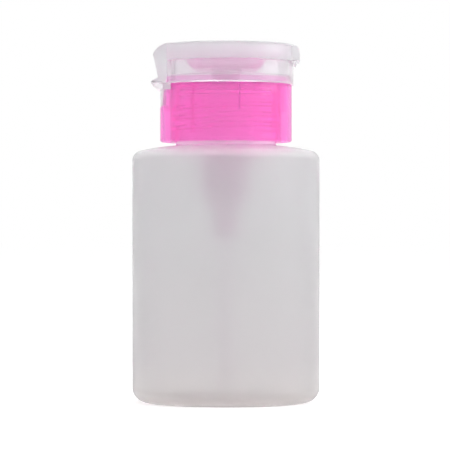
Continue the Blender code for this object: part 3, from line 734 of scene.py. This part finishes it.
# Housing retainer: moulded bush with a flange, snapped into the housing's mouth. It closes the
# chamber, and the dish's boss slides in it.
retainer_low, retainer_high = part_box("housing_retainer")
RETAINER_BORE = 0.0050
RETAINER_FLANGE = 0.0007
RETAINER_FIT = 0.0003
retainer_radius = CHAMBER_BORE - RETAINER_FIT
retainer = placed(
    "housing_retainer_natural",
    turned(
        [
            (RETAINER_BORE, retainer_low.z, EDGE),
            (retainer_radius, retainer_low.z, EDGE),
            (retainer_radius, retainer_high.z - RETAINER_FLANGE, FINE_EDGE),
            (retainer_high.x, retainer_high.z - RETAINER_FLANGE, FINE_EDGE),
            (retainer_high.x, retainer_high.z, EDGE),
            (RETAINER_BORE, retainer_high.z, FINE_EDGE),
        ],
        steps=PUMP_STEPS,
    ),
    natural,
)
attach(retainer, "pump")
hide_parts("housing_retainer")

# Press dish: shallow bowl moulded in milky plastic, with a turned-down rim and a boss that holds the
# stem. A cotton pad is laid on it and pushed down.
dish_low, dish_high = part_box("press_dish")
DISH_WALL = 0.0010
DISH_FLOOR = 0.1067
DISH_FLOOR_RADIUS = 0.0090
DISH_BOWL_RADIUS = 0.0143
DISH_FLANGE = 0.0007
DISH_RIM_WALL = 0.0009
DISH_RIM_DEPTH = 0.0020
DISH_RIM_EDGE = 0.0005
BOSS_RADIUS = 0.0047
BOSS_BORE = 0.0033
BOSS_TOP = 0.1091
BOWL_STEPS = 14
dish_flange_bottom = dish_high.z - DISH_FLANGE
dish_rim_inner = dish_high.x - DISH_RIM_WALL


def bowl_side(run, depth, top):
    """Section points of an elliptical bowl from its floor to its brim, without rounding."""
    points = []
    for step in range(BOWL_STEPS + 1):
        angle = math.pi / 2 * step / BOWL_STEPS
        points.append((DISH_FLOOR_RADIUS + run * math.sin(angle), top - depth * math.cos(angle), 0))
    return points


bowl_run = DISH_BOWL_RADIUS - DISH_FLOOR_RADIUS
milky = moulded_plastic(
    "milky_plastic",
    colour=(254, 250, 253),
    cloud_colour=(252, 247, 251),
    roughness=0.16,
    see_through=0.52,
    skin=(0.3, 0.2),
    grain_depth=MATT_GRAIN,
)
dish = placed(
    "press_dish_milky",
    turned(
        [
            (BOSS_BORE, dish_low.z, FINE_EDGE),
            (BOSS_RADIUS, dish_low.z, EDGE),
            (BOSS_RADIUS, DISH_FLOOR, SOFT_EDGE),
            *bowl_side(bowl_run, dish_flange_bottom - DISH_FLOOR, dish_flange_bottom),
            (dish_rim_inner, dish_flange_bottom, SOFT_EDGE),
            (dish_rim_inner, dish_flange_bottom - DISH_RIM_DEPTH, FINE_EDGE),
            (dish_high.x, dish_flange_bottom - DISH_RIM_DEPTH, EDGE),
            (dish_high.x, dish_high.z, DISH_RIM_EDGE),
            *reversed(bowl_side(bowl_run - DISH_WALL, dish_high.z - DISH_FLOOR - DISH_WALL, dish_high.z)),
            (BOSS_RADIUS, DISH_FLOOR + DISH_WALL, SOFT_EDGE),
            (BOSS_RADIUS, BOSS_TOP, EDGE),
            (BOSS_BORE, BOSS_TOP, FINE_EDGE),
        ]
    ),
    milky,
)
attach(dish, "plunger")
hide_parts("press_dish")

# Spout insert: small white nozzle button, pressed into the top of the dish's boss. It keeps the
# outlet ball in.
spout_low, spout_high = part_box("spout_insert")
SPOUT_PLUG_RADIUS = 0.0030
SPOUT_HOLE_RADIUS = 0.0008
SPOUT_RIM = 0.0008
SPOUT_DOME = 0.0006
spout_white = moulded_plastic(
    "spout_white",
    colour=(255, 252, 255),
    cloud_colour=(254, 250, 254),
    roughness=0.20,
    see_through=0.15,
    skin=(0.3, 0.2),
    grain_depth=MATT_GRAIN,
)
spout = placed(
    "spout_insert_white",
    turned(
        [
            (SPOUT_HOLE_RADIUS, spout_low.z, CRISP_EDGE),
            (SPOUT_PLUG_RADIUS, spout_low.z, FINE_EDGE),
            (SPOUT_PLUG_RADIUS, spout_high.z - SPOUT_RIM, CRISP_EDGE),
            (spout_high.x, spout_high.z - SPOUT_RIM, CRISP_EDGE),
            (spout_high.x, spout_high.z - SPOUT_RIM / 2, FINE_EDGE),
            (SPOUT_PLUG_RADIUS, spout_high.z, SPOUT_DOME),
            (SPOUT_HOLE_RADIUS, spout_high.z, EDGE),
        ],
        steps=SMALL_STEPS,
    ),
    spout_white,
)
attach(spout, "plunger")
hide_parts("spout_insert")

# Collar: screw closure of pink, clear plastic. A threaded skirt and an outer wall hang from its deck,
# joined by eight radial ribs, in turn long and short; a notch at the back takes the hinge's tongue.
collar_low, collar_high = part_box("collar")
collar_radius = collar_high.x
SKIRT_BORE = 0.0165
SKIRT_RADIUS = 0.0178
OUTER_WALL = 0.0012
COLLAR_CHAMFER = 0.0004
DECK_TOP = 0.1019
DECK_THICKNESS = 0.0006
DECK_HOLE = 0.0093
RIM_RADIUS = 0.0206
RIM_BORE = 0.0193
REBATE_FLOOR = 0.10155
RIB_COUNT = 8
RIB_THICKNESS = 0.0008
RIB_ANGLE = math.radians(-78)
LONG_RIB_BOTTOM = 0.0859
SHORT_RIB_BOTTOM = 0.0931
COLLAR_THREAD_RISE = -0.00115
COLLAR_THREAD_START = 0.08592
COLLAR_THREAD_FIRST_TURN = 0.25
COLLAR_THREAD_LAST_TURN = 3.0
NOTCH_HALF_WIDTH = 0.0076
NOTCH_FLOOR = 0.0947
NOTCH_CHAMFER = 0.0003
NOTCH_SKIRT_GAP = 0.0003
NOTCH_OVERCUT = 0.0003
BEYOND = 0.0020
BAR_EDGE_STEPS = 3
PINK_STAIN = (1.0, 0.0, 0.87, 1)
PINK_STAIN_DENSITY = 122
wall_bore = collar_radius - OUTER_WALL
deck_bottom = DECK_TOP - DECK_THICKNESS


def prism(outline, half_width, along="Y", edge=0.0):
    """Closed bar with this outline: (x, z) points along Y, or (y, z) points along X, edges rounded."""
    shape = bmesh.new()
    if along == "Y":
        points = [shape.verts.new((across, -half_width, height)) for across, height in outline]
        step = Vector((0, 2 * half_width, 0))
    else:
        points = [shape.verts.new((-half_width, across, height)) for across, height in outline]
        step = Vector((2 * half_width, 0, 0))
    grown = bmesh.ops.extrude_face_region(shape, geom=[shape.faces.new(points)])
    moved = [item for item in grown["geom"] if isinstance(item, bmesh.types.BMVert)]
    bmesh.ops.translate(shape, verts=moved, vec=step)
    bmesh.ops.recalc_face_normals(shape, faces=shape.faces)
    if edge:
        bmesh.ops.bevel(
            shape,
            geom=shape.edges[:],
            offset=edge,
            segments=BAR_EDGE_STEPS,
            profile=0.5,
            affect="EDGES",
            material=-1,
        )
    return shape


def carve(piece, tool_shape, operation):
    """Join a tool's shape to a piece, or cut it away or cut down to it, for good."""
    bmesh.ops.recalc_face_normals(tool_shape, faces=tool_shape.faces)
    tool_mesh = bpy.data.meshes.new("tool")
    tool_shape.to_mesh(tool_mesh)
    tool_shape.free()
    tool = bpy.data.objects.new("tool", tool_mesh)
    bpy.context.scene.collection.objects.link(tool)
    cut = piece.modifiers.new("cut", "BOOLEAN")
    cut.operation = operation
    cut.object = tool
    cut.solver = "EXACT"
    result = bpy.data.meshes.new_from_object(piece.evaluated_get(bpy.context.evaluated_depsgraph_get()))
    piece.modifiers.clear()
    piece.data = result
    bpy.data.objects.remove(tool)
    result.shade_smooth()
    result.set_sharp_from_angle(angle=SMOOTH_ANGLE)


def stain_through(material, colour, density):
    """Let a clear plastic tint what is seen through it, more in a thick wall than in a thin one."""
    tree = material.node_tree
    depth = tree.nodes.new("ShaderNodeVolumeAbsorption")
    depth.inputs["Color"].default_value = colour
    depth.inputs["Density"].default_value = density
    tree.links.new(depth.outputs[0], tree.nodes["Material Output"].inputs["Volume"])


pink = moulded_plastic(
    "pink_plastic",
    colour=(255, 207, 242),
    cloud_colour=(255, 202, 240),
    roughness=0.24,
    see_through=0.86,
    skin=(0.35, 0.05),
    grain_depth=GLOSS_GRAIN,
    index=1.05,
)
stain_through(pink, PINK_STAIN, PINK_STAIN_DENSITY)
collar_shape = turned(
    [
        (wall_bore, collar_low.z, EDGE),
        (collar_radius - COLLAR_CHAMFER, collar_low.z, FINE_EDGE),
        (collar_radius, collar_low.z + COLLAR_CHAMFER, FINE_EDGE),
        (collar_radius, REBATE_FLOOR, FINE_EDGE),
        (RIM_RADIUS, REBATE_FLOOR, CRISP_EDGE),
        (RIM_RADIUS, collar_high.z, EDGE),
        (RIM_BORE, collar_high.z, EDGE),
        (RIM_BORE, DECK_TOP, EDGE),
        (DECK_HOLE, DECK_TOP, FINE_EDGE),
        (DECK_HOLE, deck_bottom, FINE_EDGE),
        (SKIRT_BORE, deck_bottom, EDGE),
        (SKIRT_BORE, collar_low.z, EDGE),
        (SKIRT_RADIUS, collar_low.z, EDGE),
        (SKIRT_RADIUS, deck_bottom, EDGE),
        (wall_bore, deck_bottom, EDGE),
    ],
    threaded_radius=SKIRT_BORE,
)
raise_thread(
    collar_shape,
    SKIRT_BORE,
    COLLAR_THREAD_RISE,
    COLLAR_THREAD_START,
    COLLAR_THREAD_FIRST_TURN,
    COLLAR_THREAD_LAST_TURN,
)
collar = placed("collar_pink", collar_shape, pink)
# Each rib reaches from the middle of the skirt to the middle of the outer wall, and into the deck.
ribs_shape = bmesh.new()
rib_inner = (SKIRT_BORE + SKIRT_RADIUS) / 2
rib_outer = (wall_bore + collar_radius) / 2
rib_top = (deck_bottom + DECK_TOP) / 2
for index in range(RIB_COUNT):
    rib_bottom = LONG_RIB_BOTTOM if index % 2 else SHORT_RIB_BOTTOM
    rib_size = Vector((rib_outer - rib_inner, RIB_THICKNESS, rib_top - rib_bottom, 1))
    rib_place = Matrix.Translation(((rib_inner + rib_outer) / 2, 0, (rib_bottom + rib_top) / 2))
    rib_turn = Matrix.Rotation(RIB_ANGLE + math.tau * index / RIB_COUNT, 4, "Z")
    bmesh.ops.create_cube(ribs_shape, size=1, matrix=rib_turn @ rib_place @ Matrix.Diagonal(rib_size))
carve(collar, ribs_shape, "UNION")
# The notch goes through the outer wall, and its floor slopes down to the outside.
notch_slope = NOTCH_CHAMFER / OUTER_WALL
notch_front = -SKIRT_RADIUS - NOTCH_SKIRT_GAP
notch_inner = -(wall_bore - NOTCH_OVERCUT)
notch_floor_inner = NOTCH_FLOOR + NOTCH_OVERCUT * notch_slope
carve(
    collar,
    prism(
        [
            (notch_front, collar_high.z + BEYOND),
            (-collar_radius - BEYOND, collar_high.z + BEYOND),
            (-collar_radius - BEYOND, NOTCH_FLOOR - NOTCH_CHAMFER - BEYOND * notch_slope),
            (notch_inner, notch_floor_inner),
            (notch_front, notch_floor_inner),
        ],
        NOTCH_HALF_WIDTH,
    ),
    "DIFFERENCE",
)
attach(collar, "closure")
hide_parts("collar")

# Hinge ring: clear ring snapped over the collar's rim. At the back it carries the hinge block, and a
# tongue below that keys it into the collar's notch. A chamfer inside its lower edge leads it on.
ring_low, ring_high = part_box("hinge_ring")
RING_RADIUS = 0.0217
RING_SKIRT_BORE = 0.0209
RING_BORE = 0.0200
RING_BOTTOM = 0.1016
RING_SHOULDER = 0.1042
RING_STEP = 0.1088
RING_NECK_RADIUS = 0.0213
RING_LEAD_IN = 0.0006
BLOCK_HALF_WIDTH = 0.01235
BLOCK_TOP = 0.10185
BLOCK_BOTTOM = 0.0997
BLOCK_ROOT = -0.0213
TONGUE_HALF_WIDTH = 0.0073
TONGUE_TAPER = 0.0009
TONGUE_LAP = 0.0003
TONGUE_TOP_DROP = 0.00015
BLOCK_LAP = 0.0004
COLLAR_FIT = 0.0003
RING_CUTOUT_HALF_WIDTH = 0.0109
RING_CUTOUT_SHARE = 0.6
block_front = -math.sqrt(RING_RADIUS**2 - BLOCK_HALF_WIDTH**2) + BLOCK_LAP
clear = moulded_plastic(
    "clear_plastic",
    colour=(243, 244, 245),
    cloud_colour=(241, 241, 243),
    roughness=0.16,
    see_through=0.86,
    skin=(0.3, 0.12),
    grain_depth=GLOSS_GRAIN,
    index=1.31,
)
ring = placed(
    "hinge_ring_clear",
    turned(
        [
            (RING_SKIRT_BORE + RING_LEAD_IN, RING_BOTTOM, 0),
            (RING_RADIUS, RING_BOTTOM, CRISP_EDGE),
            (RING_RADIUS, RING_STEP, EDGE),
            (RING_NECK_RADIUS, RING_STEP, CRISP_EDGE),
            (RING_NECK_RADIUS, ring_high.z, EDGE),
            (RING_BORE, ring_high.z, EDGE),
            (RING_BORE, RING_SHOULDER, EDGE),
            (RING_SKIRT_BORE, RING_SHOULDER, CRISP_EDGE),
            (RING_SKIRT_BORE, RING_BOTTOM + RING_LEAD_IN, 0),
        ]
    ),
    clear,
)
# Hinge block: a bar across the ring's back, cut round in front so that it clears the collar.
block = placed(
    "hinge_block",
    prism(
        [
            (ring_low.x, BLOCK_TOP),
            (BLOCK_ROOT, BLOCK_BOTTOM),
            (block_front, BLOCK_BOTTOM),
            (block_front, BLOCK_TOP),
        ],
        BLOCK_HALF_WIDTH,
        edge=CRISP_EDGE,
    ),
    clear,
)
clearance_radius = collar_radius + COLLAR_FIT
carve(
    block,
    turned(
        [
            (0, BLOCK_BOTTOM - BEYOND, 0),
            (clearance_radius, BLOCK_BOTTOM - BEYOND, 0),
            (clearance_radius, BLOCK_TOP + BEYOND, 0),
            (0, BLOCK_TOP + BEYOND, 0),
        ]
    ),
    "DIFFERENCE",
)
# Tongue: as thick and as round as the collar's outer wall, and a little narrower at its foot.
overlap_radius = (clearance_radius + RING_RADIUS) / 2
tongue = placed(
    "hinge_tongue",
    turned(
        [
            (wall_bore, ring_low.z, FINE_EDGE),
            (collar_radius, ring_low.z, EDGE),
            (collar_radius, BLOCK_BOTTOM + TONGUE_LAP, 0),
            (overlap_radius, BLOCK_BOTTOM + TONGUE_LAP, 0),
            (overlap_radius, BLOCK_TOP - TONGUE_TOP_DROP, 0),
            (wall_bore, BLOCK_TOP - TONGUE_TOP_DROP, 0),
        ]
    ),
    clear,
)
tongue_foot = TONGUE_HALF_WIDTH - TONGUE_TAPER
tongue_window = prism(
    [
        (-tongue_foot, ring_low.z - BEYOND),
        (tongue_foot, ring_low.z - BEYOND),
        (tongue_foot, ring_low.z),
        (TONGUE_HALF_WIDTH, BLOCK_BOTTOM),
        (TONGUE_HALF_WIDTH, BLOCK_TOP + BEYOND),
        (-TONGUE_HALF_WIDTH, BLOCK_TOP + BEYOND),
        (-TONGUE_HALF_WIDTH, BLOCK_BOTTOM),
        (-tongue_foot, ring_low.z),
    ],
    2 * BEYOND,
    along="X",
)
bmesh.ops.translate(tongue_window, verts=tongue_window.verts, vec=(-collar_radius, 0, 0))
carve(tongue, tongue_window, "INTERSECT")


def taken(piece):
    """The shape of a helper piece, which then leaves the scene."""
    shape = bmesh.new()
    shape.from_mesh(piece.data)
    bpy.data.objects.remove(piece)
    return shape


carve(ring, taken(block), "UNION")
carve(ring, taken(tongue), "UNION")
# The ring is open at the back, where the lid's hood comes down to the block.
cutout_front = -wall_bore * RING_CUTOUT_SHARE
carve(
    ring,
    prism(
        [
            (ring_low.x - BEYOND, BLOCK_TOP),
            (cutout_front, BLOCK_TOP),
            (cutout_front, ring_high.z + BEYOND),
            (ring_low.x - BEYOND, ring_high.z + BEYOND),
        ],
        RING_CUTOUT_HALF_WIDTH,
    ),
    "DIFFERENCE",
)
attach(ring, "closure")
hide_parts("hinge_ring")

# Lid: flip lid of the same clear plastic with a matter skin. In front it has a thumb tab with a small
# catch, and at the back a hollow hood that runs down to the hinge.
lid_low, lid_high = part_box("lid")
LID_RADIUS = 0.0225
LID_BORE = 0.0216
LID_BOTTOM = 0.1091
LID_CEILING = 0.1134
LID_EDGE = 0.0010
LID_HOLLOW_DROP = 0.0003
HOOD_HALF_WIDTH = 0.0125
HOOD_SIDE_WALL = 0.0008
HOOD_BACK_WALL = 0.0010
HOOD_START = -0.0179
HOOD_REACH = 0.0051
HOOD_WAIST = 0.1105
HOOD_FULLNESS = 1.2
HOOD_SIDE_LAP = 0.00045
HOOD_SIDE_STEP = 0.0005
FLAP_X = -0.0215
FLAP_Z = 0.1035
FOLD_HEIGHT = 0.10215
HOOD_FOOT_INNER = -0.0209
HOOD_FOOT_LIP = 0.00015
TAB_HALF_WIDTH = 0.0097
TAB_SLANT = 0.0006
TAB_TOP_DROP = 0.0007
TAB_TOP_CORNER = 0.0008
TAB_LAP = 0.0009
CATCH_HALF_WIDTH = 0.0050
CATCH_DROP = 0.0016
CATCH_THICKNESS = 0.0009
CATCH_GAP = 0.0003
CATCH_ROOT = 0.0009
CATCH_INNER_SHARE = 0.75
CATCH_OUTER_DROP = 0.0003
CATCH_EDGE = 0.00012
HOOD_STEPS = 16
LID_STAIN = (0.2, 0.0, 0.15, 1)
LID_STAIN_DENSITY = 5


def hood_outline(wall, ceiling):
    """Rear outline of the hood from the lid's top down to its waist, less a wall."""
    points = []
    for step in range(HOOD_STEPS + 1):
        angle = math.pi / 2 * step / HOOD_STEPS
        across = (HOOD_REACH - wall) * math.sin(angle) ** HOOD_FULLNESS
        rise = (ceiling - HOOD_WAIST) * math.cos(angle) ** HOOD_FULLNESS
        points.append((HOOD_START - across, HOOD_WAIST + rise))
    return points


clear_lid = moulded_plastic(
    "clear_lid_plastic",
    colour=(243, 244, 245),
    cloud_colour=(241, 241, 243),
    roughness=0.31,
    see_through=0.80,
    skin=(0.3, 0.12),
    grain_depth=GLOSS_GRAIN,
)
stain_through(clear_lid, LID_STAIN, LID_STAIN_DENSITY)
lid = placed(
    "flip_lid_clear",
    turned(
        [
            (0, LID_BOTTOM, 0),
            (LID_RADIUS, LID_BOTTOM, CRISP_EDGE),
            (LID_RADIUS, lid_high.z, LID_EDGE),
            (0, lid_high.z, 0),
        ]
    ),
    clear_lid,
)
# The hood starts as a solid bar across the lid's back.
side_front = -math.sqrt(LID_RADIUS**2 - HOOD_HALF_WIDTH**2)
side_seat = -math.sqrt(LID_BORE**2 - HOOD_HALF_WIDTH**2) + HOOD_SIDE_LAP
carve(
    lid,
    prism(
        [
            (lid_low.x - BEYOND, FOLD_HEIGHT),
            (side_front, FOLD_HEIGHT),
            (side_front, LID_BOTTOM + HOOD_SIDE_STEP),
            (side_seat, LID_BOTTOM + HOOD_SIDE_STEP),
            (side_seat, lid_high.z),
            (lid_low.x - BEYOND, lid_high.z),
        ],
        HOOD_HALF_WIDTH,
    ),
    "UNION",
)
# Thumb tab in front, with its catch below.
tab_root = LID_BORE - TAB_LAP
carve(
    lid,
    prism(
        [
            (tab_root, LID_BOTTOM),
            (lid_high.x, LID_BOTTOM),
            (lid_high.x - TAB_SLANT, lid_high.z - TAB_TOP_DROP - TAB_TOP_CORNER),
            (lid_high.x - TAB_SLANT - TAB_TOP_CORNER, lid_high.z - TAB_TOP_DROP),
            (tab_root, lid_high.z - TAB_TOP_DROP),
        ],
        TAB_HALF_WIDTH,
        edge=FINE_EDGE,
    ),
    "UNION",
)
catch_inner = RING_RADIUS + CATCH_GAP
carve(
    lid,
    prism(
        [
            (catch_inner, LID_BOTTOM + CATCH_ROOT),
            (catch_inner, LID_BOTTOM - CATCH_DROP * CATCH_INNER_SHARE),
            (catch_inner + CATCH_THICKNESS / 2, LID_BOTTOM - CATCH_DROP),
            (catch_inner + CATCH_THICKNESS, LID_BOTTOM - CATCH_OUTER_DROP),
            (catch_inner + CATCH_THICKNESS, LID_BOTTOM + CATCH_ROOT),
        ],
        CATCH_HALF_WIDTH,
        edge=CATCH_EDGE,
    ),
    "UNION",
)
# The lid's hollow is round, and ends in a straight line where the hood's own begins.
interior = placed(
    "lid_interior",
    turned(
        [
            (0, LID_BOTTOM - LID_HOLLOW_DROP, 0),
            (LID_BORE, LID_BOTTOM - LID_HOLLOW_DROP, 0),
            (LID_BORE, LID_CEILING, SOFT_EDGE),
            (0, LID_CEILING, 0),
        ]
    ),
    clear_lid,
)
carve(
    interior,
    prism(
        [
            (HOOD_START, LID_BOTTOM - BEYOND),
            (HOOD_START, lid_high.z + BEYOND),
            (lid_low.x, lid_high.z + BEYOND),
            (lid_low.x, LID_BOTTOM - BEYOND),
        ],
        LID_RADIUS,
    ),
    "DIFFERENCE",
)
carve(lid, taken(interior), "DIFFERENCE")
# The hood's back is cut to its outline, and then the hood is hollowed.
carve(
    lid,
    prism(
        [
            (HOOD_START, lid_high.z + BEYOND),
            *hood_outline(0, lid_high.z),
            (FLAP_X, FLAP_Z),
            (lid_low.x, FOLD_HEIGHT + HOOD_FOOT_LIP),
            (lid_low.x, FOLD_HEIGHT - BEYOND),
            (lid_low.x - 2 * BEYOND, FOLD_HEIGHT - BEYOND),
            (lid_low.x - 2 * BEYOND, lid_high.z + BEYOND),
        ],
        LID_RADIUS + BEYOND,
    ),
    "DIFFERENCE",
)
carve(
    lid,
    prism(
        [
            *hood_outline(HOOD_BACK_WALL, LID_CEILING),
            (HOOD_FOOT_INNER, FLAP_Z),
            (HOOD_FOOT_INNER, FOLD_HEIGHT - BEYOND),
            (side_seat + BEYOND, FOLD_HEIGHT - BEYOND),
            (side_seat + BEYOND, LID_CEILING),
        ],
        HOOD_HALF_WIDTH - HOOD_SIDE_WALL,
    ),
    "DIFFERENCE",
)
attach(lid, "lid")
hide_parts("lid")

# Hinge film: the thin moulded strip that joins the lid's foot to the hinge block and bends when the
# lid opens. It reaches a little into both.
FILM_HALF_WIDTH = 0.0115
FILM_THICKNESS = 0.00026
FILM_HOLD = 0.00005
FILM_WAIST = 0.6
FILM_STEPS = 8
lid_hinge = next(joint for joint in frame["joints"] if joint["name"] == "lid_hinge")
film_x = lid_hinge["pos_m"][0]
film_shape = prism(
    [
        (film_x - FILM_THICKNESS / 2, BLOCK_TOP - FILM_HOLD),
        (film_x - FILM_THICKNESS / 2, FOLD_HEIGHT + FILM_HOLD),
        (film_x + FILM_THICKNESS / 2, FOLD_HEIGHT + FILM_HOLD),
        (film_x + FILM_THICKNESS / 2, BLOCK_TOP - FILM_HOLD),
    ],
    FILM_HALF_WIDTH,
)
upright = [edge for edge in film_shape.edges if abs(edge.verts[0].co.z - edge.verts[1].co.z) > FILM_HOLD]
bmesh.ops.subdivide_edges(film_shape, edges=upright, cuts=FILM_STEPS, use_grid_fill=True)
# It is thinnest at the fold.
for vert in film_shape.verts:
    off_fold = abs(2 * vert.co.z - BLOCK_TOP - FOLD_HEIGHT) / (FOLD_HEIGHT - BLOCK_TOP + 2 * FILM_HOLD)
    vert.co.x = film_x + (vert.co.x - film_x) * (FILM_WAIST + (1 - FILM_WAIST) * off_fold**2)
film = placed("hinge_film_clear", film_shape, clear_lid)
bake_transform(film)
